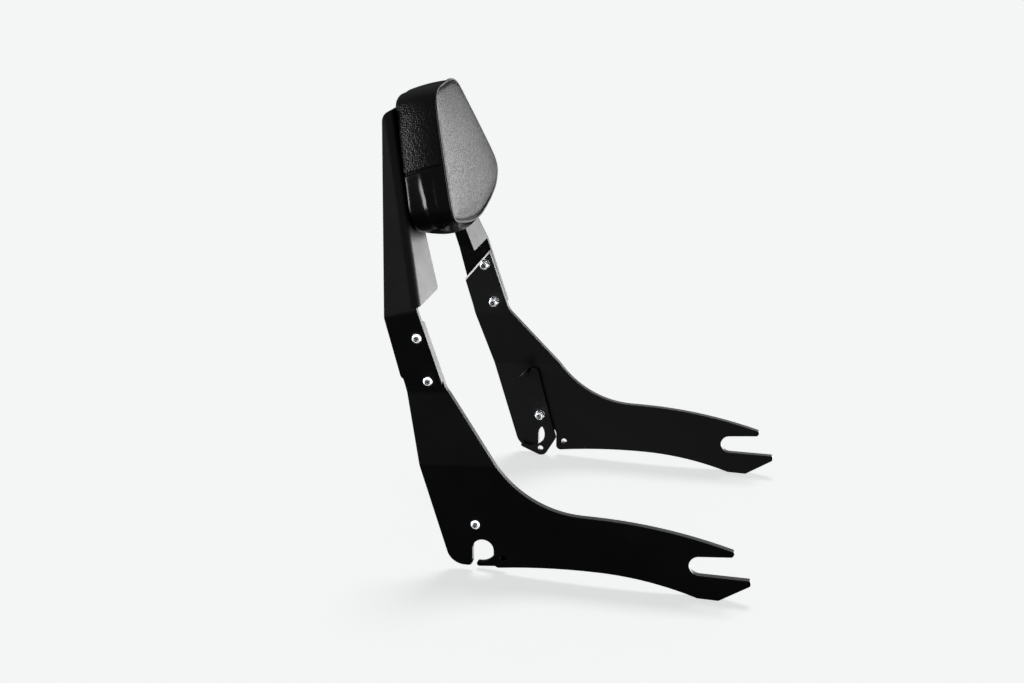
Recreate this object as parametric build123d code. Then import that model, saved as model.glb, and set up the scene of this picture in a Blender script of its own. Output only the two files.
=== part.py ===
from build123d import *
import math
import os

os.makedirs("parts", exist_ok=True)

# A detachable motorcycle sissy bar: two docking plates, a folded backrest frame and a sewn pad.
# X points forward, Y to the left, Z up. Heights are drawn from the line the part stands on, and the
# pieces are written with the origin on the axis of the rear docking notches, midway between the plates.

# Stock
plate_thickness = 6.0
frame_thickness = 5.0
lever_thickness = 4.0
bend_radius = 3.0  # inside radius of every folded sheet

# Docking notch, fork slot and lock hole of a side plate
dock_width = 306.0  # over the outer faces of the two plates
notch_radius = 11.0
notch_height = 26.2
slot_radius = 10.3
slot_reach = 216.6  # notch axis to the centre of the slot's round end
slot_height = 35.0
slot_top_flare = 5.8
slot_bottom_flare = 0.5
lock_hole_diameter = 6.5
lock_hole_x = 20.6
lock_hole_drop = 7.2  # below the notch axis

# Side plate outline
lobe_height = 6.8
lobe_back = 33.6
lobe_radius = 18.0
notch_lip_radius = 5.0
rear_bend_x = -64.2
rear_bend_height = 110.0
arch_x = 118.0
arch_height = 15.3
flat_front = 19.9  # ground flat, measured from the slot centre
flat_back = 0.6
nose_slope = 33.3
lower_prong_reach = 49.7  # prong ends, measured from the slot centre
upper_prong_reach = 34.0
upper_prong_top = 18.6
upper_prong_rake = 30.8
prong_radius = 2.4
waist_height = 73.0
waist_front = 112.0
waist_back = 100.0
throat_radius = 105.0
throat_slope = 51.0
elbow_radius = 22.0

# Joggle of a side plate between its docking part and its leg seat
joggle_start = 113.5
joggle_end = 182.5
joggle_tilt = 4.0  # the bend lines rise towards the front
joggle_x = -45.0

# Backrest frame, drawn in its own reclined axes: depth forward, height up the panel
recline = 16.5
frame_x = -67.0
frame_z = 270.0
leg_width = 274.0  # over the outer faces of the legs
leg_bend_height = -1.5
panel_bottom = 0.5
panel_top = 182.0
flange_lean = 25.2
flange_top_depth = 9.7
flange_top_radius = 9.0
flange_bottom_depth = 37.5
leg_bottom_depth = 39.8
leg_rear_drop = 65.0
leg_front_drop = 84.7
leg_front_set = 2.5  # the legs' front edges start this far behind the panel's face
corner_radius = 5.0
window_width = 140.0
window_taper = 12.4
window_top = 92.0
window_radius = 15.0
strip_radius = 4.0

# Leg seat of a side plate and its two screws, in the frame's axes
seat_rear_depth = 40.0
seat_bend_height = -72.0
seat_cut_rear = -40.0
seat_cut_front = -14.8
seat_bevel = 2.0
upper_screw_depth = 11.2
upper_screw_height = -28.6
lower_screw_depth = 13.6
lower_screw_height = -73.6

# Latch lever, drawn upright about its pivot
pivot_x = -7.6
pivot_rise = 27.0  # above the notch axis
upright_angle = 39.4  # from the locked pose to the upright one
right_latch_angle = 10.0  # from the locked pose to the modelled ones
left_latch_angle = 39.0
recess_radius = 16.3
lock_boss_radius = 8.6
recess_start = 75.0
recess_end = -132.0
finger_reach = 25.0
finger_slope = 22.8
toe_slope = 59.4
toe_height = -30.0
toe_radius = 2.0
handle_top = 57.0
handle_front = -3.6
handle_rear = -11.0
handle_side = -22.0
handle_shoulder = 46.0
shank_rear = -13.2
shank_height = 11.0
pivot_edge = 8.4
tip_radius = 2.6
lever_corner_radius = 4.0
tab_length = 12.0
tab_reach = 15.0
tab_ear = 3.0  # the tab stands this far off the handle's slanted end
tab_bend = 1.5

# Fasteners
screw_diameter = 6.0
head_diameter = 10.5
head_height = 3.3
head_rim = 0.5
head_crown = 5.4
socket_flats = 4.0
socket_depth = 2.0
nut_flats = 10.0
nut_height = 5.0
nut_collar_height = 2.6
nut_collar_diameter = 8.6
nut_chamfer = 0.6
thread_stand_out = 1.2
washer_diameter = 11.0
washer_thickness = 1.2
hole_clearance = 0.4  # on the diameter of a plain screw hole
pivot_clearance = 0.1  # on the diameter of a lever's bore
side_clearance = 0.3  # on each face of a lever

# Pad, in the frame's axes
pad_rise = 9.5  # the pad's top edge above the panel's
pad_height = 137.0
pad_corner_rise = 14.5  # lower corners above the middle of the bottom edge
pad_top_inset = 9.7  # the pad's top and lower corners in from the flanges' outer faces
pad_bottom_inset = 5.8
pad_top_radius = 16.0
pad_bottom_radius = 20.0
pad_top_bulge = 1.5  # how far the sewn sides swell out half way through the pad
pad_side_bulge = 2.0
pad_bottom_bulge = 12.5
pad_corner_swell = 6.0  # added to the corner radii there
pad_front = 48.0
pad_back = 2.0
pad_front_round = 4.5
pad_back_round = 2.0
board_thickness = 9.0
board_inset = 7.0
piping_diameter = 4.4
piping_set_back = 4.6  # piping axis behind the pad's front
piping_inset = 0.6
tee_nut_barrel = 8.0
tee_nut_flange = 18.0
tee_nut_flange_thickness = 1.5
tee_nut_gap = 1.0  # barrel end short of the board's back
pad_screw_upper_inset = 29.5  # in from the flanges' inner faces
pad_screw_upper_drop = 31.5  # below the pad's top edge
pad_screw_lower_inset = 20.0
pad_screw_lower_drop = 79.5

# Worked out
dock_half = dock_width / 2
leg_half = leg_width / 2
seat_half = leg_half - frame_thickness  # outer face of a plate where its leg lies on it
fold_radius = bend_radius + frame_thickness
screw_hole = screw_diameter + hole_clearance
pivot_z = notch_height + pivot_rise
lock_hole_z = notch_height - lock_hole_drop
slot_base = slot_reach - flat_back
nut_stack = washer_thickness + nut_height + nut_collar_height
pad_top = panel_top + pad_rise
pad_bottom = pad_top - pad_height
frame_place = Location((frame_x, 0, frame_z), (0, -recline, 0))
dock_place = Location((0, 0, -notch_height))


def sin(angle):
    return math.sin(math.radians(angle))


def cos(angle):
    return math.cos(math.radians(angle))


def tan(angle):
    return math.tan(math.radians(angle))


def turned(x, z, angle):
    """A point of the side view turned about the origin, positive from X towards Z."""
    return x * cos(angle) - z * sin(angle), x * sin(angle) + z * cos(angle)


def seat(depth, height):
    """Side-view place of a point given in the frame's reclined axes."""
    x, z = turned(depth, height, recline)
    return frame_x + x, frame_z + z


def round_corner(sketch, place, radius):
    """Round the corner of a flat outline that lies nearest to a place."""
    corner = sketch.vertices().sort_by_distance((place[0], place[1], 0))[0]
    return fillet(corner, radius)


def side_view(sketch, half_depth):
    """A prism along Y from an outline drawn in the side view."""
    return extrude(Plane.XZ * sketch, half_depth, both=True)


def cross_hole(x, z, diameter):
    """A round cutter along Y, long enough for the whole part."""
    return Location((x, 0, z), (90, 0, 0)) * Cylinder(diameter / 2, 2 * dock_width)


upper_screw = seat(-upper_screw_depth, upper_screw_height)
lower_screw = seat(-lower_screw_depth, lower_screw_height)


def plate_outline():
    foot = (-lobe_back, lobe_height)
    lip = (notch_radius, lobe_height)
    arch = (arch_x, arch_height)
    flat_start = (slot_base, 0)
    flat_end = (slot_reach + flat_front, 0)
    nose_x = slot_reach + lower_prong_reach
    nose = (nose_x, (nose_x - flat_end[0]) * tan(nose_slope))
    nose_inner = (nose_x, slot_height)
    tip = (slot_reach + upper_prong_reach, slot_height + upper_prong_top)
    tip_inner = (tip[0] - upper_prong_top * tan(upper_prong_rake), slot_height)
    waist_a = (waist_front, waist_height)
    waist_b = (waist_back, waist_height)
    throat_x, throat_rise = turned(0, -throat_radius, -throat_slope)
    throat = (waist_back + throat_x, waist_height + throat_radius + throat_rise)
    throat_depth = (throat[0] - frame_x) * cos(recline) + (throat[1] - frame_z) * sin(recline)
    run = throat_depth / cos(throat_slope + recline)
    elbow = (throat[0] - run * cos(throat_slope), throat[1] + run * sin(throat_slope))
    rear_bend = (rear_bend_x, rear_bend_height)
    edges = [
        Line(foot, lip),
        TangentArc(arch, lip, tangent=(-1, 0)),
        TangentArc(arch, flat_start, tangent=(1, 0)),
        Polyline(flat_start, flat_end, nose, nose_inner, tip_inner, tip),
        TangentArc(waist_a, tip, tangent=(1, 0)),
        Line(waist_a, waist_b),
        TangentArc(waist_b, throat, tangent=(-1, 0)),
        Polyline(
            throat,
            elbow,
            seat(-leg_front_set, seat_cut_front),
            seat(-seat_rear_depth, seat_cut_rear),
            seat(-seat_rear_depth, seat_bend_height),
            rear_bend,
            foot,
        ),
    ]
    outline = make_face(Curve() + edges)
    outline = round_corner(outline, foot, lobe_radius)
    outline = round_corner(outline, elbow, elbow_radius)
    outline = round_corner(outline, flat_end, prong_radius)
    outline -= dock_notch() + fork_slot()
    outline = round_corner(outline, (-notch_radius, lobe_height), notch_lip_radius)
    outline = round_corner(outline, lip, notch_lip_radius)
    slot_bottom = slot_height - slot_radius + lower_prong_reach * tan(slot_bottom_flare)
    outline = round_corner(outline, (nose_x, slot_bottom), prong_radius)
    outline = round_corner(outline, nose, prong_radius)
    slot_top = slot_height + slot_radius + upper_prong_reach * tan(slot_top_flare)
    mouth_x = tip[0] - (tip[1] - slot_top) * tan(upper_prong_rake)
    outline = round_corner(outline, (mouth_x, slot_top), prong_radius)
    return round_corner(outline, tip, prong_radius)


def dock_notch():
    mouth = Rectangle(2 * notch_radius, notch_height, align=(Align.CENTER, Align.MIN))
    return mouth + Pos(0, notch_height) * Circle(notch_radius)


def fork_slot():
    """Slot with a round end and two edges that open slightly towards the front."""
    length = 2 * lower_prong_reach
    top = turned(0, slot_radius, slot_top_flare)
    bottom = turned(0, -slot_radius, slot_bottom_flare)
    throat = make_face(
        Polyline(
            top,
            (top[0] + length, top[1] + length * tan(slot_top_flare)),
            (bottom[0] + length, bottom[1] + length * tan(slot_bottom_flare)),
            bottom,
            close=True,
        )
    )
    return Pos(slot_reach, slot_height) * (throat + Circle(slot_radius))


def joggled_sheet():
    """The bent blank of a left side plate, before its outline is cut."""
    reach = 2 * slot_reach
    face_line = FilletPolyline(
        (dock_half, -reach),
        (dock_half, joggle_start),
        (seat_half, joggle_end),
        (seat_half, reach),
        radius=bend_radius + plate_thickness,
    )
    section = make_face(offset(face_line, plate_thickness, side=Side.LEFT, closed=True))
    sheet = extrude(Plane.YZ * section, reach, both=True)
    return Location((joggle_x, 0, 0), (0, -joggle_tilt, 0)) * sheet


def side_plate():
    """Left side plate; the right one is its mirror image."""
    plate = joggled_sheet() & side_view(plate_outline(), dock_width)
    cut_x, cut_z = seat(-(seat_rear_depth + leg_front_set) / 2, (seat_cut_rear + seat_cut_front) / 2)
    inner_cut_edge = plate.edges().sort_by_distance((cut_x, seat_half - plate_thickness, cut_z))[0]
    plate = chamfer(inner_cut_edge, seat_bevel)
    plate -= cross_hole(lock_hole_x, lock_hole_z, lock_hole_diameter)
    for x, z in ((pivot_x, pivot_z), upper_screw, lower_screw):
        plate -= cross_hole(x, z, screw_hole)
    return plate


def flange_half(height, inset=0.0):
    """Half width over the flanges at a height up the panel, less a wall measured square to them."""
    return leg_half - (height - leg_bend_height) * tan(flange_lean) - inset / cos(flange_lean)


def pad_screw_places():
    """Front-view places of the pad's four screws, each set in from its flange."""
    places = []
    rows = (
        (pad_screw_upper_inset, pad_screw_upper_drop),
        (pad_screw_lower_inset, pad_screw_lower_drop),
    )
    for inset, drop in rows:
        height = pad_top - drop
        half = flange_half(height, frame_thickness) - inset
        places += [(-half, height), (half, height)]
    return places


def channel_core(depth, inset, radius):
    """Tapered prism behind the panel, its two front edges rounded."""
    section = make_face(
        Polyline(
            (-flange_half(panel_bottom, inset), panel_bottom),
            (flange_half(panel_bottom, inset), panel_bottom),
            (flange_half(panel_top, inset), panel_top),
            (-flange_half(panel_top, inset), panel_top),
            close=True,
        )
    )
    prism = Pos(depth, 0, 0) * extrude(Plane.YZ * section, -2 * leg_bottom_depth)
    rim = prism.faces().sort_by(Axis.X)[-1].edges().sort_by(Axis.Y)
    return fillet([rim[0], rim[-1]], radius)


def bent_leg():
    """Left leg with the bend that turns it out of its flange."""
    inner_bend = leg_bend_height + frame_thickness * (1 / cos(flange_lean) - 1) / -tan(flange_lean)
    bend_outer = (leg_half, leg_bend_height)
    bend_inner = (seat_half, inner_bend)
    section = make_face(
        Polyline(
            (seat_half, -2 * leg_front_drop),
            (leg_half, -2 * leg_front_drop),
            bend_outer,
            (flange_half(panel_bottom), panel_bottom),
            (flange_half(panel_bottom, frame_thickness), panel_bottom),
            bend_inner,
            close=True,
        )
    )
    section = round_corner(section, bend_outer, fold_radius)
    section = round_corner(section, bend_inner, bend_radius)
    return extrude(Plane.YZ * section, -2 * leg_bottom_depth)


def frame_side_outline():
    """Side view of flanges and legs in the frame's own axes."""
    top_rear = (-flange_top_depth, panel_top)
    leg_rear = (-leg_bottom_depth, -leg_rear_drop)
    leg_front = (0, -leg_front_drop)
    outline = make_face(
        Polyline(
            (fold_radius, panel_top),
            top_rear,
            (-flange_bottom_depth, leg_bend_height),
            leg_rear,
            leg_front,
            (-leg_front_set, panel_bottom),
            (fold_radius, panel_bottom),
            close=True,
        )
    )
    outline = round_corner(outline, top_rear, flange_top_radius)
    for corner in (leg_rear, leg_front):
        outline = round_corner(outline, corner, corner_radius)
    return outline


def panel_window():
    """Opening of the front panel, which runs out through its bottom edge."""
    foot = panel_bottom - strip_radius
    top_half = window_width / 2 - (window_top - panel_bottom) * tan(window_taper)
    foot_half = window_width / 2 + strip_radius * tan(window_taper)
    right_edge = (-foot_half, foot), (-top_half, window_top)
    left_edge = (top_half, window_top), (foot_half, foot)
    outline = make_face(Polyline(*right_edge, *left_edge, close=True))
    for side in (-1, 1):
        outline = round_corner(outline, (side * top_half, window_top), window_radius)
    return extrude(Plane.YZ * outline, fold_radius, both=True)


def backrest_frame():
    channel = channel_core(0, 0, fold_radius) - channel_core(-frame_thickness, frame_thickness, bend_radius)
    leg = bent_leg()
    sheet = channel + leg + mirror(leg, about=Plane.XZ)
    sheet &= side_view(frame_side_outline(), dock_width)
    sheet -= panel_window()
    for side in (-1, 1):
        strip_corners = sheet.edges().filter_by(Axis.X)
        strip_place = (-frame_thickness / 2, side * window_width / 2, panel_bottom)
        sheet = fillet(strip_corners.sort_by_distance(strip_place)[0], strip_radius)
    for y, height in pad_screw_places():
        sheet -= Location((0, y, height), (0, 90, 0)) * Cylinder(screw_hole / 2, 4 * frame_thickness)
    sheet = frame_place * sheet
    for place in (upper_screw, lower_screw):
        sheet -= cross_hole(*place, screw_hole)
    return sheet


def lever_outline():
    """Latch lever standing upright, seen from the right with its pivot at the origin, and its lock hole."""
    recess_x, recess_z = turned(-pivot_x, -pivot_rise, -upright_angle)
    lock_x, lock_z = turned(lock_hole_x - pivot_x, lock_hole_z - pivot_z, -upright_angle)
    start = (recess_x + recess_radius * cos(recess_start), recess_z + recess_radius * sin(recess_start))
    middle = (recess_x + recess_radius, recess_z)
    end = (recess_x + recess_radius * cos(recess_end), recess_z + recess_radius * sin(recess_end))
    tip_run = sin(finger_slope) * (finger_reach + lock_x)
    tip = (-finger_reach, lock_z - (lock_boss_radius - tip_run) / cos(finger_slope))
    boss_share = lock_boss_radius / (1 + cos(finger_slope + toe_slope))
    boss = (
        lock_x + boss_share * (sin(toe_slope) - sin(finger_slope)),
        lock_z - boss_share * (cos(toe_slope) + cos(finger_slope)),
    )
    toe = (lock_x + (lock_boss_radius + cos(toe_slope) * (toe_height - lock_z)) / sin(toe_slope), toe_height)
    handle_corners = [(handle_front, handle_top), (handle_rear, handle_top), (handle_side, handle_shoulder)]
    shank = (shank_rear, shank_height)
    side = (-pivot_edge, 0)
    rim = Polyline(end, tip, boss, toe, *handle_corners, shank, side, start)
    outline = make_face(Curve() + [ThreePointArc(start, middle, end), rim])
    outline = round_corner(outline, boss, lock_boss_radius)
    for corner in (tip, end):
        outline = round_corner(outline, corner, tip_radius)
    outline = round_corner(outline, toe, toe_radius)
    for corner in (handle_corners[0], handle_corners[1], shank):
        outline = round_corner(outline, corner, lever_corner_radius)
    outline -= Pos(lock_x, lock_z) * Circle(lock_hole_diameter / 2)
    return outline - Circle((screw_diameter + pivot_clearance) / 2)


def finger_tab():
    """Ear on the slanted end of the handle with a tab bent away from the plate."""
    slant = math.degrees(math.atan2(handle_rear - handle_side, handle_top - handle_shoulder))
    end = ((handle_rear + handle_side) / 2, (handle_top + handle_shoulder) / 2, 0)
    corner = (Align.MIN, Align.MAX)
    ear = extrude(Rectangle(tab_ear + 2 * lever_thickness, tab_length, align=corner), lever_thickness)
    upright = extrude(Rectangle(lever_thickness, tab_length, align=corner), lever_thickness + tab_reach)
    tab = ear + upright
    outer = tab.edges().sort_by_distance((0, -tab_length / 2, 0))[0]
    tab = fillet(outer, lever_thickness + tab_bend)
    inner = tab.edges().sort_by_distance((lever_thickness, -tab_length / 2, lever_thickness))[0]
    tab = fillet(inner, tab_bend)
    free_end = (tab.edges() | Axis.X).group_by(Axis.Z)[-1]
    tab = fillet(free_end, lever_corner_radius)
    return Location(end, (0, 0, -slant)) * (Pos(-tab_ear, tab_length / 2, 0) * tab)


def latch_lever(turn):
    """Left latch lever, turned back from its locked pose; the right one is a mirror image."""
    lever = extrude(lever_outline(), lever_thickness) + finger_tab()
    face = dock_half - plate_thickness - side_clearance
    return Location((pivot_x, face, pivot_z), (0, turn - upright_angle, 0)) * (Rotation(90, 0, 0) * lever)


def button_screw(length):
    """Button-head screw, bearing face at the origin, head along +Z."""
    rim = Polyline((0, head_height), (0, 0), (head_diameter / 2, 0), (head_diameter / 2, head_rim))
    crown = (head_crown / 2, head_height)
    dome = RadiusArc((head_diameter / 2, head_rim), crown, -head_diameter / 2)
    section = make_face(Curve() + [rim, dome, Line(crown, (0, head_height))])
    head = revolve(Plane.XZ * section, Axis.Z)
    socket = extrude(RegularPolygon(socket_flats / 2, 6, major_radius=False), socket_depth)
    shank = Pos(0, 0, -length / 2) * Cylinder(screw_diameter / 2, length)
    return head + shank - Pos(0, 0, head_height - socket_depth) * socket


def lock_nut():
    """Hexagon nut with a nylon collar, bearing face at the origin, collar along +Z."""
    hexagon = extrude(RegularPolygon(nut_flats / 2, 6, major_radius=False), nut_height)
    turned_blank = extrude(Circle(nut_flats / math.sqrt(3)), nut_height)
    turned_blank = chamfer(turned_blank.edges().filter_by(GeomType.CIRCLE), nut_chamfer)
    collar = extrude(Circle(nut_collar_diameter / 2), nut_height + nut_collar_height)
    collar = fillet(collar.edges().filter_by(GeomType.CIRCLE).sort_by(Axis.Z)[-1], nut_collar_height / 2)
    return (hexagon & turned_blank) + collar - Cylinder(screw_diameter / 2, 4 * nut_height)


def washer():
    """Plain washer lying on the origin."""
    ring = Circle(washer_diameter / 2) - Circle(screw_hole / 2)
    return extrude(ring, washer_thickness)


def outward(x, y, z):
    """Place on the left side for a piece whose axis points away from the part's middle."""
    return Location((x, y, z), (-90, 0, 0))


def inward(x, y, z):
    """Place on the left side for a piece whose axis points to the part's middle."""
    return Location((x, y, z), (90, 0, 0))


def leg_fasteners():
    """Screws, washers and nuts of the left leg."""
    screws = Part()
    washers = Part()
    nuts = Part()
    seat_inner = seat_half - plate_thickness
    length = frame_thickness + plate_thickness + nut_stack + thread_stand_out
    for x, z in (upper_screw, lower_screw):
        screws += outward(x, leg_half, z) * button_screw(length)
        washers += inward(x, seat_inner, z) * washer()
        nuts += inward(x, seat_inner - washer_thickness, z) * lock_nut()
    return screws, washers, nuts


def pivot_fasteners():
    """Pivot screw, washer and nut of the left latch lever."""
    grip = plate_thickness + lever_thickness + 2 * side_clearance
    screw = outward(pivot_x, dock_half, pivot_z) * button_screw(grip + nut_stack + thread_stand_out)
    ring = inward(pivot_x, dock_half - grip, pivot_z) * washer()
    nut = inward(pivot_x, dock_half - grip - washer_thickness, pivot_z) * lock_nut()
    return screw, ring, nut


def pad_outline(swell=0.0):
    """Front view of the pad, a rounded trapezium with a sagging bottom edge, at a share of its full swell."""
    top = pad_top + swell * pad_top_bulge
    bottom = pad_bottom - swell * pad_bottom_bulge
    low = pad_bottom + pad_corner_rise
    top_half = flange_half(pad_top) - pad_top_inset + swell * pad_side_bulge
    low_half = flange_half(low) - pad_bottom_inset + swell * pad_side_bulge
    added_radius = swell * pad_corner_swell
    sides = Polyline((-low_half, low), (-top_half, top), (top_half, top), (low_half, low))
    sag = ThreePointArc((low_half, low), (0, bottom), (-low_half, low))
    outline = make_face(Curve() + [sides, sag])
    for side in (-1, 1):
        outline = round_corner(outline, (side * top_half, top), pad_top_radius + added_radius)
        outline = round_corner(outline, (side * low_half, low), pad_bottom_radius + added_radius)
    return outline


def pad_section(depth, outline):
    """A front-view outline moved to its depth in front of the panel."""
    return Plane.YZ.offset(depth) * outline


def pad_screw_row(piece, depth, tilt):
    """The same piece at each pad screw."""
    row = Part()
    for y, height in pad_screw_places():
        row += Location((depth, y, height), (0, tilt, 0)) * piece
    return row


def tee_nut():
    """Flanged insert: flange on the front of the board, barrel back into it."""
    flange = extrude(Circle(tee_nut_flange / 2), tee_nut_flange_thickness)
    barrel = extrude(Circle(tee_nut_barrel / 2), tee_nut_gap - board_thickness)
    return flange + barrel - Cylinder(screw_diameter / 2, 4 * board_thickness)


def pad_pieces():
    """Board, cushion, piping and fixings of the pad, in the frame's axes."""
    tee_nuts = pad_screw_row(tee_nut(), board_thickness, 90)
    screw_length = washer_thickness + frame_thickness + board_thickness
    screws = pad_screw_row(button_screw(screw_length), -frame_thickness - washer_thickness, -90)
    washers = pad_screw_row(washer(), -frame_thickness, -90)
    holes = pad_screw_row(Cylinder(tee_nut_barrel / 2, 4 * board_thickness), 0, 90)
    flanges = pad_screw_row(Cylinder(tee_nut_flange / 2, 2 * tee_nut_flange_thickness), board_thickness, 90)
    board = extrude(pad_section(0, offset(pad_outline(), -board_inset)), board_thickness)
    path = pad_section(pad_front - piping_set_back, offset(pad_outline(), -piping_inset)).wire()
    piping = sweep(Plane(origin=path @ 0, z_dir=path % 0) * Circle(piping_diameter / 2), path=path)
    middle = (pad_back + pad_front) / 2
    depths_and_swells = ((pad_back, 0), (middle, 1), (pad_front, 0))
    cushion = loft([pad_section(depth, pad_outline(swell)) for depth, swell in depths_and_swells])
    cushion = fillet(cushion.faces().sort_by(Axis.X)[-1].edges(), pad_front_round)
    cushion = fillet(cushion.faces().sort_by(Axis.X)[0].edges(), pad_back_round)
    cushion = cushion - board - flanges - piping
    return {
        "pad_base_board": board - holes,
        "pad_cushion": cushion,
        "pad_piping": piping,
        "pad_tee_nuts": tee_nuts,
        "pad_screws": screws,
        "pad_screw_washers": washers,
    }


def write(name, piece):
    """Write a piece with the origin moved to the docking axis."""
    export_step(dock_place * piece, f"parts/{name}.step")


def write_side(name, left, right):
    """Write a left piece and the mirror image of a right one."""
    write(f"left_{name}", left)
    write(f"right_{name}", mirror(right, about=Plane.XZ))


plate = side_plate()
leg_screws, leg_washers, leg_nuts = leg_fasteners()
pivot_screw, pivot_washer, pivot_nut = pivot_fasteners()
write("backrest_frame", backrest_frame())
write_side("side_plate", plate, plate)
write_side("latch_lever", latch_lever(left_latch_angle), latch_lever(right_latch_angle))
write_side("leg_screws", leg_screws, leg_screws)
write_side("leg_washers", leg_washers, leg_washers)
write_side("leg_nuts", leg_nuts, leg_nuts)
write_side("latch_pivot_screw", pivot_screw, pivot_screw)
write_side("latch_pivot_washer", pivot_washer, pivot_washer)
write_side("latch_pivot_nut", pivot_nut, pivot_nut)
for name, piece in pad_pieces().items():
    write(name, frame_place * piece)
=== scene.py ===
import math

import bpy
import bmesh
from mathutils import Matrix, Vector, noise


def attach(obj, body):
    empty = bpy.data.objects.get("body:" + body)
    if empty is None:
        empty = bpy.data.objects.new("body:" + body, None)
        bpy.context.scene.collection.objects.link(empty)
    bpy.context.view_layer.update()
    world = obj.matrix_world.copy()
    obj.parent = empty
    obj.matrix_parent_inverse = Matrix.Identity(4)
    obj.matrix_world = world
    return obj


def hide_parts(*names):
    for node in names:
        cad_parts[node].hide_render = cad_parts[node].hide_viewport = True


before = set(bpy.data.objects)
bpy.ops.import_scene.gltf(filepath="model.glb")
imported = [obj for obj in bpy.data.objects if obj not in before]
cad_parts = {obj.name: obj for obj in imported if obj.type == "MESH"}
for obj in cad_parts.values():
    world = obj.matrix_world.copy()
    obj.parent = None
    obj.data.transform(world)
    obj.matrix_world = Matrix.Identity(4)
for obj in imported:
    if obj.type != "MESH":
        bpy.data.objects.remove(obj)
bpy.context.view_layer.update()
mm = 0.001
print("frame loaded,", len(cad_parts), "nodes")


def toLinear(hexValue):
    # sRGB hex to the linear colour that the shaders take
    levels = [int(hexValue[i:i + 2], 16) / 255 for i in (1, 3, 5)]
    return tuple(v / 12.92 if v <= 0.04045 else ((v + 0.055) / 1.055) ** 2.4
                 for v in levels) + (1.0,)


def addNode(tree, kind, inputs=None, **settings):
    # one node: its settings, then each input as a value or as a link from another node's output
    made = tree.nodes.new(kind)
    for name, value in settings.items():
        setattr(made, name, value)
    for socket, value in (inputs or {}).items():
        if isinstance(value, bpy.types.NodeSocket):
            tree.links.new(value, made.inputs[socket])
        else:
            made.inputs[socket].default_value = value
    return made


def startFinish(name, **values):
    # new material with its constant values set on the shader itself
    finish = bpy.data.materials.new(name)
    finish.use_nodes = True
    shader = finish.node_tree.nodes["Principled BSDF"]
    for socket, value in values.items():
        shader.inputs[socket.replace("_", " ")].default_value = value
    return finish, finish.node_tree, shader


def objectPlace(tree):
    return addNode(tree, "ShaderNodeTexCoord").outputs["Object"]


def addNoise(tree, place, size, **inputs):
    # noise with features of this size in mm
    return addNode(tree, "ShaderNodeTexNoise",
                   {"Vector": place, "Scale": 1 / (size * mm), **inputs}).outputs["Fac"]


def mixTone(tree, shader, pattern, first, second):
    # base colour that goes from the first tone to the second with the pattern
    tone = addNode(tree, "ShaderNodeMix",
                   {0: pattern, 6: toLinear(first), 7: toLinear(second)}, data_type="RGBA")
    tree.links.new(tone.outputs[2], shader.inputs["Base Color"])


def followPattern(tree, shader, socket, pattern, span, values):
    # shader input that goes between two values while the pattern goes through its span
    ranged = addNode(tree, "ShaderNodeMapRange",
                     {"Value": pattern, "From Min": span[0], "From Max": span[1],
                      "To Min": values[0], "To Max": values[1]})
    tree.links.new(ranged.outputs["Result"], shader.inputs[socket])


def roundEdge(tree, radius):
    # edges that catch the light as if rounded, radius in mm
    return addNode(tree, "ShaderNodeBevel", {"Radius": radius * mm}, samples=6).outputs["Normal"]


def addRelief(tree, height, depth, strength, under=None, invert=False):
    # bump with this depth in mm, over another normal where there is one
    inputs = {"Height": height, "Distance": depth * mm, "Strength": strength}
    if under is not None:
        inputs["Normal"] = under
    return addNode(tree, "ShaderNodeBump", inputs, invert=invert).outputs["Normal"]


noiseSpan = (0.3, 0.7)  # most of a noise pattern's values lie in here

# Black polyester powder coat, sprayed and baked: a satin black skin with a soft orange peel
coatLook = {
    "dark": "#050506", "light": "#0b0b0c",
    "peel": 2.4,         # mm, real peel is about 1.5, drawn coarser so that it shows
    "peelDepth": 0.05,   # mm
    "peelStrength": 0.6,
    "mottle": 35.0,      # mm, slow drift of the film
    "rough": (0.40, 0.47),
    "edge": 0.7,         # mm, the film rounds every cut edge
}


def makePowderCoat(look):
    finish, tree, shader = startFinish("satinBlackPowderCoat", IOR=1.5)
    place = objectPlace(tree)
    peel = addNoise(tree, place, look["peel"], Detail=2.0, Roughness=0.45)
    mottle = addNoise(tree, place, look["mottle"], Detail=3.0)
    mixTone(tree, shader, mottle, look["dark"], look["light"])
    followPattern(tree, shader, "Roughness", mottle, noiseSpan, look["rough"])
    edge = roundEdge(tree, look["edge"])
    relief = addRelief(tree, peel, look["peelDepth"], look["peelStrength"], edge)
    tree.links.new(relief, shader.inputs["Normal"])
    return finish


# Steel fasteners, bright zinc plated: a cool bright metal, a little clouded by the dip
zincLook = {
    "bright": "#d9dbdd", "dull": "#a7abae",
    "cloud": 3.0,          # mm
    "turning": 0.45,       # mm, marks of the tool on the heads
    "turningDepth": 0.01,  # mm
    "turningStrength": 0.5,
    "rough": (0.16, 0.34),
    "edge": 0.35,          # mm
}


def makeBrightZinc(look):
    finish, tree, shader = startFinish("brightZincPlatedSteel", Metallic=1.0)
    place = objectPlace(tree)
    cloud = addNoise(tree, place, look["cloud"], Detail=4.0)
    mixTone(tree, shader, cloud, look["bright"], look["dull"])
    followPattern(tree, shader, "Roughness", cloud, noiseSpan, look["rough"])
    marks = addNoise(tree, place, look["turning"], Detail=1.0)
    edge = roundEdge(tree, look["edge"])
    relief = addRelief(tree, marks, look["turningDepth"], look["turningStrength"], edge)
    tree.links.new(relief, shader.inputs["Normal"])
    return finish


# Front panel: calendered upholstery vinyl with a fine printed grain, matt and slightly silky
frontLook = {
    "dark": "#121213", "light": "#1b1b1c",
    "grain": 1.6,         # mm, real grain is about 0.8, drawn coarser so that it shows
    "grainDepth": 0.30,   # mm
    "grainStrength": 0.7,
    "cloud": 22.0,        # mm
    "rough": 0.46,
    "silkSpan": (0.35, 0.65), "silk": (0.08, 0.38),  # the valleys of the grain stay matt
}


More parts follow.
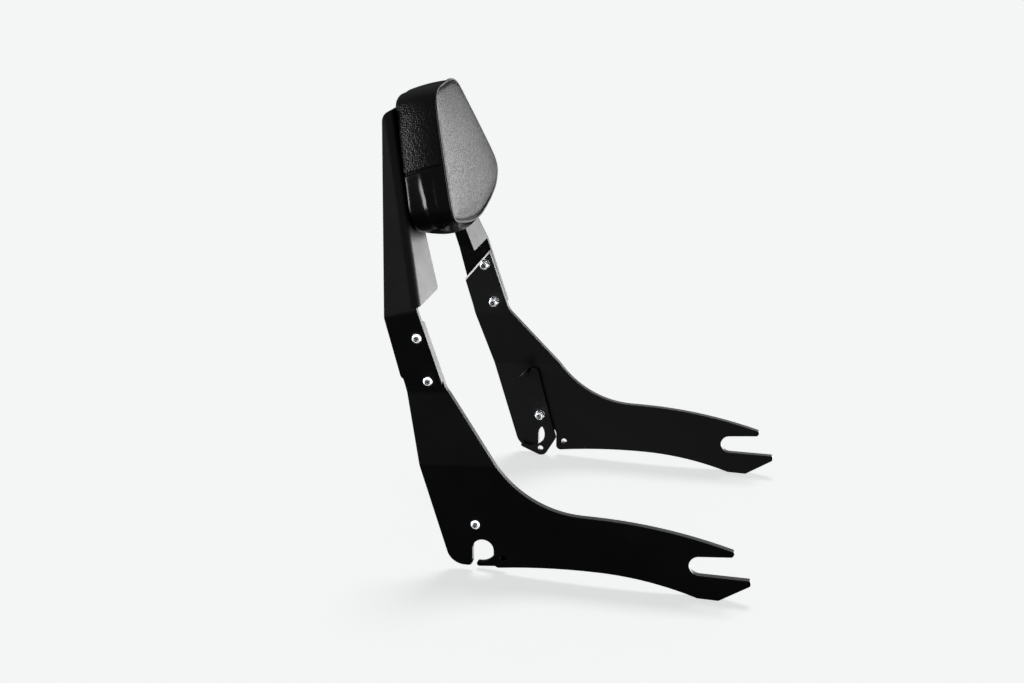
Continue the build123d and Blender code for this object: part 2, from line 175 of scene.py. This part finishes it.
def makeFrontVinyl(look):
    finish, tree, shader = startFinish("fineGrainVinyl", IOR=1.52, Roughness=look["rough"])
    place = objectPlace(tree)
    grain = addNoise(tree, place, look["grain"], Detail=2.0)
    cloud = addNoise(tree, place, look["cloud"], Detail=3.0)
    mixTone(tree, shader, cloud, look["dark"], look["light"])
    followPattern(tree, shader, "Specular IOR Level", grain, look["silkSpan"], look["silk"])
    relief = addRelief(tree, grain, look["grainDepth"], look["grainStrength"])
    tree.links.new(relief, shader.inputs["Normal"])
    return finish


# Boxing: embossed upholstery vinyl with a coarse pebble grain, each pebble catches a small gloss
pebbleLook = {
    # the darker tone is painted shade, put in the valleys between the pebbles
    "dark": "#030303", "light": "#080809",
    "pebble": 2.2,        # mm
    "pebbleDepth": 0.6,   # mm
    "pebbleStrength": 0.9,
    "scatter": 0.6,       # 0 would set the pebbles out in rows
    "pore": 0.9,          # mm
    "poreDepth": 0.12,    # mm
    "poreStrength": 0.5,
    "roughSpan": (0.1, 0.7), "rough": (0.22, 0.40),
    "specular": 0.26,
}


def makePebbleVinyl(look):
    finish, tree, shader = startFinish("pebbleGrainVinyl", IOR=1.52,
                                       Specular_IOR_Level=look["specular"])
    place = objectPlace(tree)
    pebble = addNode(tree, "ShaderNodeTexVoronoi",
                     {"Vector": place, "Scale": 1 / (look["pebble"] * mm),
                      "Randomness": look["scatter"]}).outputs["Distance"]
    pore = addNoise(tree, place, look["pore"], Detail=2.0)
    # painted shade: the base colour goes darker from each pebble's top into the valleys between
    # them
    mixTone(tree, shader, pebble, look["light"], look["dark"])
    followPattern(tree, shader, "Roughness", pebble, look["roughSpan"], look["rough"])
    fine = addRelief(tree, pore, look["poreDepth"], look["poreStrength"])
    relief = addRelief(tree, pebble, look["pebbleDepth"], look["pebbleStrength"], fine, invert=True)
    tree.links.new(relief, shader.inputs["Normal"])
    return finish


# Lower boxing: the same vinyl pulled tight, its grain stretched out, so it shines in streaks
stretchedLook = {
    "name": "stretchedSmoothVinyl",
    "dark": "#040404", "light": "#0a0a0b",
    "grain": 1.8,         # mm
    "grainDepth": 0.14,   # mm
    "grainStrength": 0.6,
    "rough": (0.16, 0.26),
    "specular": 0.30,
}
# Welt: a strip of that vinyl folded round its cord, duller for the tight bend
weltLook = {
    "name": "foldedWeltVinyl",
    "dark": "#060606", "light": "#0d0d0e",
    "grain": 1.5,         # mm
    "grainDepth": 0.12,   # mm
    "grainStrength": 0.6,
    "rough": (0.40, 0.56),
    "specular": 0.50,
}


def makeStretchedVinyl(look):
    finish, tree, shader = startFinish(look["name"], IOR=1.52,
                                       Specular_IOR_Level=look["specular"])
    grain = addNoise(tree, objectPlace(tree), look["grain"], Detail=3.0)
    mixTone(tree, shader, grain, look["dark"], look["light"])
    followPattern(tree, shader, "Roughness", grain, noiseSpan, look["rough"])
    relief = addRelief(tree, grain, look["grainDepth"], look["grainStrength"])
    tree.links.new(relief, shader.inputs["Normal"])
    return finish


# Pad board: birch plywood, rotary cut and left plain, a dull tan with darker streaks on the grain
boardLook = {
    "face": "#a98c68", "grainTone": "#7d6040",
    "grain": 1.4,         # mm across the grain
    "grainDraw": 0.06,    # the pattern's scale along the grain, against 1 across it
    "grainDepth": 0.1,    # mm
    "grainStrength": 0.4,
    "rough": 0.62,
}


def makePlywood(look):
    finish, tree, shader = startFinish("plainBirchPlywood", IOR=1.5, Roughness=look["rough"])
    along = addNode(tree, "ShaderNodeMapping",
                    {"Vector": objectPlace(tree), "Scale": (1.0, look["grainDraw"], 1.0)})
    grain = addNoise(tree, along.outputs["Vector"], look["grain"], Detail=4.0)
    mixTone(tree, shader, grain, look["face"], look["grainTone"])
    relief = addRelief(tree, grain, look["grainDepth"], look["grainStrength"])
    tree.links.new(relief, shader.inputs["Normal"])
    return finish


powderCoat = makePowderCoat(coatLook)
brightZinc = makeBrightZinc(zincLook)
frontVinyl = makeFrontVinyl(frontLook)
pebbleVinyl = makePebbleVinyl(pebbleLook)
stretchedVinyl = makeStretchedVinyl(stretchedLook)
weltVinyl = makeStretchedVinyl(weltLook)
plywood = makePlywood(boardLook)
print("finishes made")

# Which finish each rigid node wears
coated = ("backrest_frame", "left_side_plate", "right_side_plate",
          "left_latch_lever", "right_latch_lever")
for name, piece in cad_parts.items():
    if name in coated:
        wanted = powderCoat
    elif name == "pad_base_board":
        wanted = plywood
    else:
        wanted = brightZinc
    piece.data.materials.clear()
    piece.data.materials.append(wanted)
print("rigid nodes dressed")


def addObject(name, data):
    made = bpy.data.objects.new(name, data)
    bpy.context.scene.collection.objects.link(made)
    return made


# Reclined axes of the backrest: depth in front of the panel, height up it
backrest = {"x": -67.0, "z": 243.8, "recline": 16.5}  # mm and degrees
leanCos = math.cos(math.radians(backrest["recline"]))
leanSin = math.sin(math.radians(backrest["recline"]))


def onBackrest(depth, y, height):
    return Vector(((backrest["x"] + depth * leanCos - height * leanSin) * mm, y * mm,
                   (backrest["z"] + depth * leanSin + height * leanCos) * mm))


# Pad outlines (y, height) in mm, from the top middle round the right side; the sewn front sits a
# little askew on the straight back, and its lower left corner is rounder than its lower right one
pad = {
    "front": [(0, 190.4), (-20, 189.2), (-34, 184.6), (-44.5, 173.4), (-54, 156), (-66, 132),
              (-78, 106), (-87.5, 85), (-90, 75), (-88, 67), (-72, 61.5), (-45, 55.6),
              (-10, 53.2), (30, 58), (56, 63.5), (73, 69), (86, 78), (90, 91),
              (84, 107.5), (69.8, 132.7), (57, 157.5), (47.4, 175), (37.5, 186.2), (20, 190.8)],
    "back": [(0, 191.5), (-18, 191.5), (-33.5, 186.5), (-43.5, 174), (-53.5, 157), (-66.5, 132),
             (-79.3, 106), (-87.3, 90.4), (-89.2, 80), (-85, 69), (-75.1, 62.2), (-48, 57.9),
             (-10, 54.6), (30, 55.9), (56, 59.3), (75.1, 62.2), (85, 69), (89.2, 80),
             (84, 97), (68, 129), (54, 157), (43.5, 174), (33.5, 186.5), (18, 191.5)],
    # mm, how far the boxing bellies out halfway between them
    "swell": [1.5, 1.5, 1.8, 2.2, 2.4, 2.4, 2.2, 2.0, 2.0, 2.5, 5.0, 9.0,
              11.0, 8.5, 4.5, 2.0, 1.2, 1.2, 1.6, 2.4, 2.4, 2.2, 1.8, 1.5],
    "perSpan": 7,               # steps between two of the outline's points
    "corners": (3, 9, 15, 21),  # upper right, lower right, lower left, upper left point
    "joins": (5.46, 18.54),     # where the two strips of boxing are sewn, counted in points
    "joinSteps": (-0.10, -0.065, -0.035, 0.0, 0.035, 0.065, 0.10),
    "joinClear": 0.02,          # least step beside those, in points too
    "backDepth": 0.3, "seamDepth": 44.6,
    # cover that turns in behind, up to the board: depth past the back and inset, mm
    "turnedIn": ((1.0, 6.4), (0.0, 5.4), (0.0, 2.0), (0.6, 0.6)),
    "boxingRings": 24,
    # front panel inside its seam: inset in mm, share of the groove, share of the shoulder
    "frontRings": ((1.2, 0.6, 0.0), (2.4, 0.1, 0.2), (4.2, 0.0, 0.55),
                   (7.0, 0.0, 0.85), (11.0, 0.0, 1.0)),
    "groove": 1.8,              # mm, how deep the front panel dips into its seam
    "shoulder": (2.0, 7.0),     # mm, its rise just inside the welt, right and left side
    "fuller": (-70, 60),        # y between which it goes from one to the other
    "topDrop": 2.2,             # mm less of it at the top
    "thinner": (135, 185),      # heights between which that sets in
    "crown": 2.0,               # mm more at its middle
}
# Foam behind the cover, as cloth under pressure between its sewn edges
stuffing = {
    "pressure": 4.0, "frames": 20,
    "heldBack": 5,        # rings at the back that don't move
    "heldSeam": (-1, 3),  # nor do these, counted from the front seam
    "evenOut": 14,        # turns
    "cap": 5.0,           # mm, the farthest that foam can push
    "easeFront": 16,      # turns
}
# Folds along the pulled lower strip
folds = {
    # depth at the join, depth at the corner, height and width in mm
    "lines": [(21.5, 25.0, 2.4, 3.4), (4.0, 5.0, 0.9, 5.0),
              (33.5, 34.5, 0.9, 2.6), (28.5, 30.0, -0.5, 2.0)],
    "reach": 1.25,        # how far they run, where join to corner is 1
    "ends": 0.6,          # under 1 they start and end more steeply
    "sway": 1.2,          # mm
    "swayPace": 1.7,      # per outline point
    "fadeRings": 5,       # they die out towards back and front
}
# Dip at each join in mm, with a small lip on either side; widths in outline points
joinLook = {"dip": 1.1, "width": 0.035, "lip": 0.35, "lipAway": 0.11, "lipWidth": 0.06}


def lineAt(points, place):
    # smooth closed line through the points, place counted in points
    count = len(points)
    i = int(place) % count
    t = place - int(place)
    a, b, c, d = (Vector(points[(i + k) % count]) for k in (-1, 0, 1, 2))
    return 0.5 * (2 * b + (c - a) * t + (2 * a - 5 * b + 4 * c - d) * t ** 2
                  + (3 * b - a - 3 * c + d) * t ** 3)


def outlinePlaces(pad):
    # even steps, with finer ones at the two joins
    count = len(pad["front"]) * pad["perSpan"]
    clear = max(pad["joinSteps"]) + pad["joinClear"]
    places = [k / pad["perSpan"] for k in range(count)]
    places = [p for p in places if all(abs(p - j) > clear for j in pad["joins"])]
    places += [j + step for j in pad["joins"] for step in pad["joinSteps"]]
    return sorted(places)


def outwardOf(line):
    count = len(line)
    runs = [line[(i + 1) % count] - line[i - 1] for i in range(count)]
    return [Vector((run.y, -run.x)).normalized() for run in runs]


def easeBetween(value, start, end):
    # 0 before the start, 1 past the end, smooth between them
    t = min(max((value - start) / (end - start), 0.0), 1.0)
    return t * t * (3 - 2 * t)


def shoulderAt(pad, point):
    # the foam is a little fuller on the left and thins out towards the top
    low, high = pad["shoulder"]
    rise = low + (high - low) * easeBetween(point.x, *pad["fuller"])
    return rise - pad["topDrop"] * easeBetween(point.y, *pad["thinner"])


def shapePad(pad, places):
    # closed rings of (depth, point), from behind the board round to the front panel
    frontLine = [lineAt(pad["front"], p) for p in places]
    backLine = [lineAt(pad["back"], p) for p in places]
    swell = [lineAt([(v, 0) for v in pad["swell"]], p).x for p in places]
    backOut, frontOut = outwardOf(backLine), outwardOf(frontLine)
    back = pad["backDepth"]
    seam = pad["seamDepth"]
    rings = []
    for past, inset in pad["turnedIn"]:
        rings.append([(back + past, p - n * inset) for p, n in zip(backLine, backOut)])
    for k in range(1, pad["boxingRings"] + 1):
        t = k / pad["boxingRings"]
        ring = []
        for i in range(len(places)):
            n = backOut[i].lerp(frontOut[i], t).normalized()
            p = backLine[i].lerp(frontLine[i], t) + n * swell[i] * 4 * t * (1 - t)
            ring.append((back + t * (seam - back), p))
        rings.append(ring)
    # front panel: a dip at the welt, then a soft shoulder
    for inset, dip, share in pad["frontRings"]:
        ring = []
        for p, n in zip(frontLine, frontOut):
            q = p - n * inset
            ring.append((seam - dip * pad["groove"] + share * shoulderAt(pad, q), q))
        rings.append(ring)
    return rings, frontLine, frontOut


def crownPatch(pad, places, edge):
    # the middle of the front panel, drawn between the four sides of the innermost ring;
    # gives (depth, point, index on that ring or None) row by row
    first, second = pad["corners"][:2]
    corners = [places.index(c) for c in pad["corners"]]
    tall, wide = corners[1] - corners[0], corners[2] - corners[1]
    count = len(places)
    rows = []
    for a in range(wide + 1):
        u = a / wide
        row = []
        for b in range(tall + 1):
            v = (places[corners[0] + b] - first) / (second - first)
            near, low = corners[0] + b, corners[1] + a
            far, top = (corners[3] - b) % count, (corners[0] - a) % count
            p = edge[near] * (1 - u) + edge[far] * u + edge[top] * (1 - v) + edge[low] * v
            p -= edge[corners[0]] * (1 - u) * (1 - v) + edge[corners[1]] * (1 - u) * v
            p -= edge[corners[3]] * u * (1 - v) + edge[corners[2]] * u * v
            lift = shoulderAt(pad, p) + pad["crown"] * 16 * u * (1 - u) * v * (1 - v)
            shared = (near if a == 0 else far if a == wide
                      else top if b == 0 else low if b == tall else None)
            row.append((pad["seamDepth"] + lift, p, shared))
        rows.append(row)
    return rows


places = outlinePlaces(pad)
count = len(places)
rings, seamLine, seamOut = shapePad(pad, places)
firstBoxing = len(pad["turnedIn"])
seamRing = firstBoxing - 1 + pad["boxingRings"]
work = bmesh.new()
grid = [[work.verts.new(onBackrest(depth, p.x, p.y)) for depth, p in ring] for ring in rings]
for k in range(len(grid) - 1):
    for i in range(count):
        j = (i + 1) % count
        face = work.faces.new((grid[k][i], grid[k][j], grid[k + 1][j], grid[k + 1][i]))
        lowerStrip = pad["joins"][0] <= places[i] < pad["joins"][1]
        face.material_index = 0 if k >= seamRing else 2 if lowerStrip else 1
patch = crownPatch(pad, places, [p for depth, p in rings[-1]])
middle = [[work.verts.new(onBackrest(depth, p.x, p.y)) if shared is None else grid[-1][shared]
           for depth, p, shared in row] for row in patch]
for a in range(len(middle) - 1):
    for b in range(len(middle[0]) - 1):
        work.faces.new((middle[a][b], middle[a][b + 1], middle[a + 1][b + 1], middle[a + 1][b]))
for face in work.faces:
    face.smooth = True
bmesh.ops.recalc_face_normals(work, faces=work.faces)
padMesh = bpy.data.meshes.new("padCover")
work.to_mesh(padMesh)
work.free()
padCover = addObject("padCover", padMesh)
for finish in (frontVinyl, pebbleVinyl, stretchedVinyl):
    padMesh.materials.append(finish)
print("pad cover sewn,", len(padMesh.polygons), "faces")


def neighboursOf(mesh):
    around = [[] for v in mesh.vertices]
    for edge in mesh.edges:
        a, b = edge.vertices
        around[a].append(b)
        around[b].append(a)
    return around


def stuffPad(cover, stuffing):
    # the sewn edges are held and the foam pushes the cover out between them
    held = cover.vertex_groups.new(name="sewnEdges")
    low, high = stuffing["heldSeam"]
    for k in range(len(rings)):
        if k < stuffing["heldBack"] or low <= k - seamRing <= high:
            held.add([k * count + i for i in range(count)], 1.0, "REPLACE")
    start = [v.co.copy() for v in cover.data.vertices]
    cloth = cover.modifiers.new("foam", "CLOTH")
    cloth.settings.vertex_group_mass = held.name
    cloth.settings.use_pressure = True
    cloth.settings.uniform_pressure_force = stuffing["pressure"]
    cloth.settings.effector_weights.gravity = 0.0
    cloth.collision_settings.use_collision = False
    scene = bpy.context.scene
    for step in range(1, stuffing["frames"] + 1):
        scene.frame_set(step)
    shown = cover.evaluated_get(bpy.context.evaluated_depsgraph_get()).data
    moves = [v.co - was for v, was in zip(shown.vertices, start)]
    print("pad stuffed, largest move %.1f mm" % (max(m.length for m in moves) / mm))
    # foam backing keeps the vinyl from creasing, so each move is evened out with those around it
    around = neighboursOf(cover.data)
    fixed = {v.index for v in cover.data.vertices if v.groups}
    for turn in range(stuffing["evenOut"]):
        moves = [moves[i] if i in fixed
                 else sum((moves[j] for j in around[i]), moves[i]) / (len(around[i]) + 1)
                 for i in range(len(moves))]
    cap = stuffing["cap"] * mm
    for vertex, was, move in zip(cover.data.vertices, start, moves):
        if move.length > cap:
            move = move * (cap / move.length)
        vertex.co = was + move
    cover.modifiers.remove(cloth)
    cover.vertex_groups.remove(held)
    scene.frame_set(1)


def easeFront(cover, stuffing):
    # the foam rounds off the step where the front panel's shoulder meets its crown
    vertices = cover.data.vertices
    around = neighboursOf(cover.data)
    firstFree = seamRing + stuffing["heldSeam"][1] + 1
    free = range(firstFree * count, len(vertices))
    for turn in range(stuffing["easeFront"]):
        eased = [sum((vertices[j].co for j in around[i]), Vector()) / len(around[i]) for i in free]
        for i, place in zip(free, eased):
            vertices[i].co = place


def joinLift(place, look):
    lift = 0.0
    for join in pad["joins"]:
        away = abs(place - join)
        lift -= look["dip"] * math.exp(-(away / look["width"]) ** 2)
        lift += look["lip"] * look["dip"] * math.exp(
            -((away - look["lipAway"]) / look["lipWidth"]) ** 2)
    return lift


def foldLift(place, depth, folds):
    # run counts from the nearer join (0) to the corner below it (1)
    nearCorner, farCorner = pad["corners"][1:3]
    nearJoin, farJoin = pad["joins"]
    if place < (nearCorner + farCorner) / 2:
        run = (place - nearJoin) / (nearCorner - nearJoin)
    else:
        run = (farJoin - place) / (farJoin - farCorner)
    lift = 0.0
    if 0 < run < folds["reach"]:
        share = math.sin(math.pi * run / folds["reach"]) ** folds["ends"]
        for start, end, height, width in folds["lines"]:
            sway = folds["sway"] * noise.noise((place * folds["swayPace"], start, 0.0))
            at = start + (end - start) * run + sway
            lift += height * share * math.exp(-((depth - at) / width) ** 2)
    return lift


def foldCover(cover):
    # dips at the two joins and folds along the strip below them
    normals = [v.normal.copy() for v in cover.data.vertices]
    for k in range(firstBoxing, seamRing):
        depth = rings[k][0][0]
        fromEdge = min(k - firstBoxing + 1, seamRing - k) / folds["fadeRings"]
        fade = math.sin(math.pi * min(fromEdge, 0.5))
        for i, place in enumerate(places):
            lift = joinLift(place, joinLook) + foldLift(place, depth, folds)
            index = k * count + i
            cover.data.vertices[index].co += normals[index] * lift * fade * mm


stuffPad(padCover, stuffing)
easeFront(padCover, stuffing)
foldCover(padCover)
padCover.modifiers.new("softSkin", "SUBSURF").render_levels = 1

# Welt: piping cord under vinyl, sewn into the front seam; mm, out and proud of the seam's line
welt = {"radius": 1.0, "out": 0.3, "proud": 0.5}
weltCurve = bpy.data.curves.new("padWelt", "CURVE")
weltCurve.dimensions = "3D"
spline = weltCurve.splines.new("NURBS")
spline.points.add(count - 1)
for i in range(count):
    p = seamLine[i] + seamOut[i] * welt["out"]
    spline.points[i].co = (*onBackrest(pad["seamDepth"] + welt["proud"], p.x, p.y), 1.0)
spline.use_cyclic_u = True
weltCurve.bevel_depth = welt["radius"] * mm
weltCurve.bevel_resolution = 4
weltCurve.materials.append(weltVinyl)
padWelt = addObject("padWelt", weltCurve)
print("welt laid")

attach(padCover, "bar")
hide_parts("pad_cushion")
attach(padWelt, "bar")
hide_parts("pad_piping")

# Studio: a pale floor that glows, a soft key from above and behind, and a room that only shiny
# faces see, dark below and a little lighter above
studio = {
    "white": "#f2f4f3",
    "floorSize": 16.0,    # m
    "floorZ": -26.25,     # mm
    "floorGlow": 0.74,
    "sky": 0.10, "backdrop": 1.0,
    "key": 0.66, "keyAngle": 22.0, "keyFrom": (0.0, 0.48, 1.0),
    "roomSpan": (-0.25, 0.6), "room": (0.012, 0.18),
}
# Seen only as gloss: size, place and aim in m, radiance, and the group of pieces it is meant for
softBoxes = {
    # bright walls that the steel mirrors where it is seen edge on
    "brightWall": ((2.2, 1.5), (1.45, 1.35, -0.35), (0.0, 0.0, 0.2), 8.0, "steel"),
    "upperBand": ((1.5, 0.5), (0.35, 1.45, 0.72), (0.1, 0.0, 0.1), 2.0, "steel"),
    "leftBox": ((0.7, 1.0), (-1.6, 0.05, 0.70), (0.0, 0.0, 0.25), 11.0, "steel"),
    # the left plate's bevelled end, then its inner face
    "bevelBox": ((0.6, 0.6), (-1.6, 0.05, 0.70), (-0.06, 0.14, 0.24), 22.0, "leftSide"),
    "lowFront": ((1.6, 3.8), (-0.5, -1.6, -0.90), (0.0, 0.0, -0.60), 0.20, "leftSide"),
    "padWall": ((1.6, 1.7), (1.60, 1.15, 0.48), (-0.05, 0.0, 0.35), 15.0, "pad"),
    "padLeft": ((0.5, 0.9), (-1.5, -0.62, 0.62), (-0.1, -0.1, 0.35), 12.5, "pad"),
    "padLow": ((0.5, 0.35), (0.1, 0.80, -0.55), (-0.05, 0.0, 0.3), 0.9, "pad"),
    # the heads and nuts have boxes on four sides of the camera
    "fastenerLeft": ((1.6, 2.4), (-1.5, -0.45, 0.1), (0.0, 0.0, 0.1), 4.0, "fasteners"),
    "fastenerRight": ((1.6, 2.4), (1.5, -0.45, 0.1), (0.0, 0.0, 0.1), 4.0, "fasteners"),
    "fastenerTop": ((2.6, 1.4), (0.0, -0.45, 1.5), (0.0, 0.0, 0.1), 4.0, "fasteners"),
    "fastenerLow": ((2.6, 1.4), (0.0, -0.60, -1.2), (0.0, 0.0, 0.1), 2.0, "fasteners"),
}
white = toLinear(studio["white"])
floorMesh = bpy.data.meshes.new("studioFloor")
half = studio["floorSize"] / 2
z = studio["floorZ"] * mm
floorMesh.from_pydata([(-half, -half, z), (half, -half, z), (half, half, z), (-half, half, z)],
                      [], [(0, 1, 2, 3)])
floor = addObject("studioFloor", floorMesh)
floorPaper = startFinish("litWhitePaper", Roughness=0.9, Specular_IOR_Level=0.0, Base_Color=white,
                         Emission_Color=white, Emission_Strength=studio["floorGlow"])[0]
floorMesh.materials.append(floorPaper)
floor.visible_glossy = False
floor.visible_shadow = False

world = bpy.data.worlds.new("studioRoom")
bpy.context.scene.world = world
world.use_nodes = True
tree = world.node_tree
tree.nodes.clear()
skyDirection = addNode(tree, "ShaderNodeTexCoord").outputs["Generated"]
upAxis = addNode(tree, "ShaderNodeSeparateXYZ", {"Vector": skyDirection})
dim = addNode(tree, "ShaderNodeMapRange",
              {"Value": upAxis.outputs["Z"],
               "From Min": studio["roomSpan"][0], "From Max": studio["roomSpan"][1],
               "To Min": studio["room"][0], "To Max": studio["room"][1]})
even, room, paper = (
    addNode(tree, "ShaderNodeBackground", {"Color": white, "Strength": s}).outputs["Background"]
    for s in (studio["sky"], dim.outputs["Result"], studio["backdrop"]))
ray = addNode(tree, "ShaderNodeLightPath")
inside = addNode(tree, "ShaderNodeMixShader", {0: ray.outputs["Is Glossy Ray"], 1: even, 2: room})
outside = addNode(tree, "ShaderNodeMixShader",
                  {0: ray.outputs["Is Camera Ray"], 1: inside.outputs["Shader"], 2: paper})
addNode(tree, "ShaderNodeOutputWorld", {"Surface": outside.outputs["Shader"]})

lit = {group: bpy.data.collections.new(group)
       for group in ("steel", "plates", "leftSide", "fasteners", "pad")}
for name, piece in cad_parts.items():
    lit["steel"].objects.link(piece)
    if piece.data.materials[0] == brightZinc:
        lit["fasteners"].objects.link(piece)
    if name.endswith(("side_plate", "latch_lever")):
        lit["plates"].objects.link(piece)
    if name in ("left_side_plate", "left_latch_lever"):
        lit["leftSide"].objects.link(piece)
for piece in (padCover, padWelt):
    lit["pad"].objects.link(piece)
keyLight = bpy.data.lights.new("softKey", "SUN")
keyLight.energy = studio["key"]
keyLight.angle = math.radians(studio["keyAngle"])
key = addObject("softKey", keyLight)
key.rotation_euler = Vector(studio["keyFrom"]).to_track_quat("Z", "Y").to_euler()
key.visible_glossy = False
key.light_linking.blocker_collection = lit["plates"]  # only plates and levers shade the floor
for name, (size, place, aim, radiance, group) in softBoxes.items():
    light = bpy.data.lights.new(name, "AREA")
    light.shape = "RECTANGLE"
    light.size, light.size_y = size
    light.energy = radiance * math.pi * size[0] * size[1]
    box = addObject(name, light)
    box.location = place
    box.rotation_euler = (Vector(place) - Vector(aim)).to_track_quat("Z", "Y").to_euler()
    box.visible_camera = False
    box.visible_diffuse = False
    box.light_linking.receiver_collection = lit[group]
print("studio lit")

# Camera at the photograph's place, in mm: 50 mm lens on a 36 mm wide sensor
view = {"from": (331.07, -1383.02, 677.33), "to": (-6.76, -3.0, 168.99),
        "lens": 50.0, "sensor": 36.0}
lens = bpy.data.cameras.new("photoCamera")
lens.lens = view["lens"]
lens.sensor_width = view["sensor"]
lens.sensor_fit = "HORIZONTAL"
camera = addObject("photoCamera", lens)
camera.location = Vector(view["from"]) * mm
sight = Vector(view["to"]) - Vector(view["from"])
camera.rotation_euler = sight.to_track_quat("-Z", "Y").to_euler()
bpy.context.scene.camera = camera
bpy.context.scene.view_settings.view_transform = "Standard"
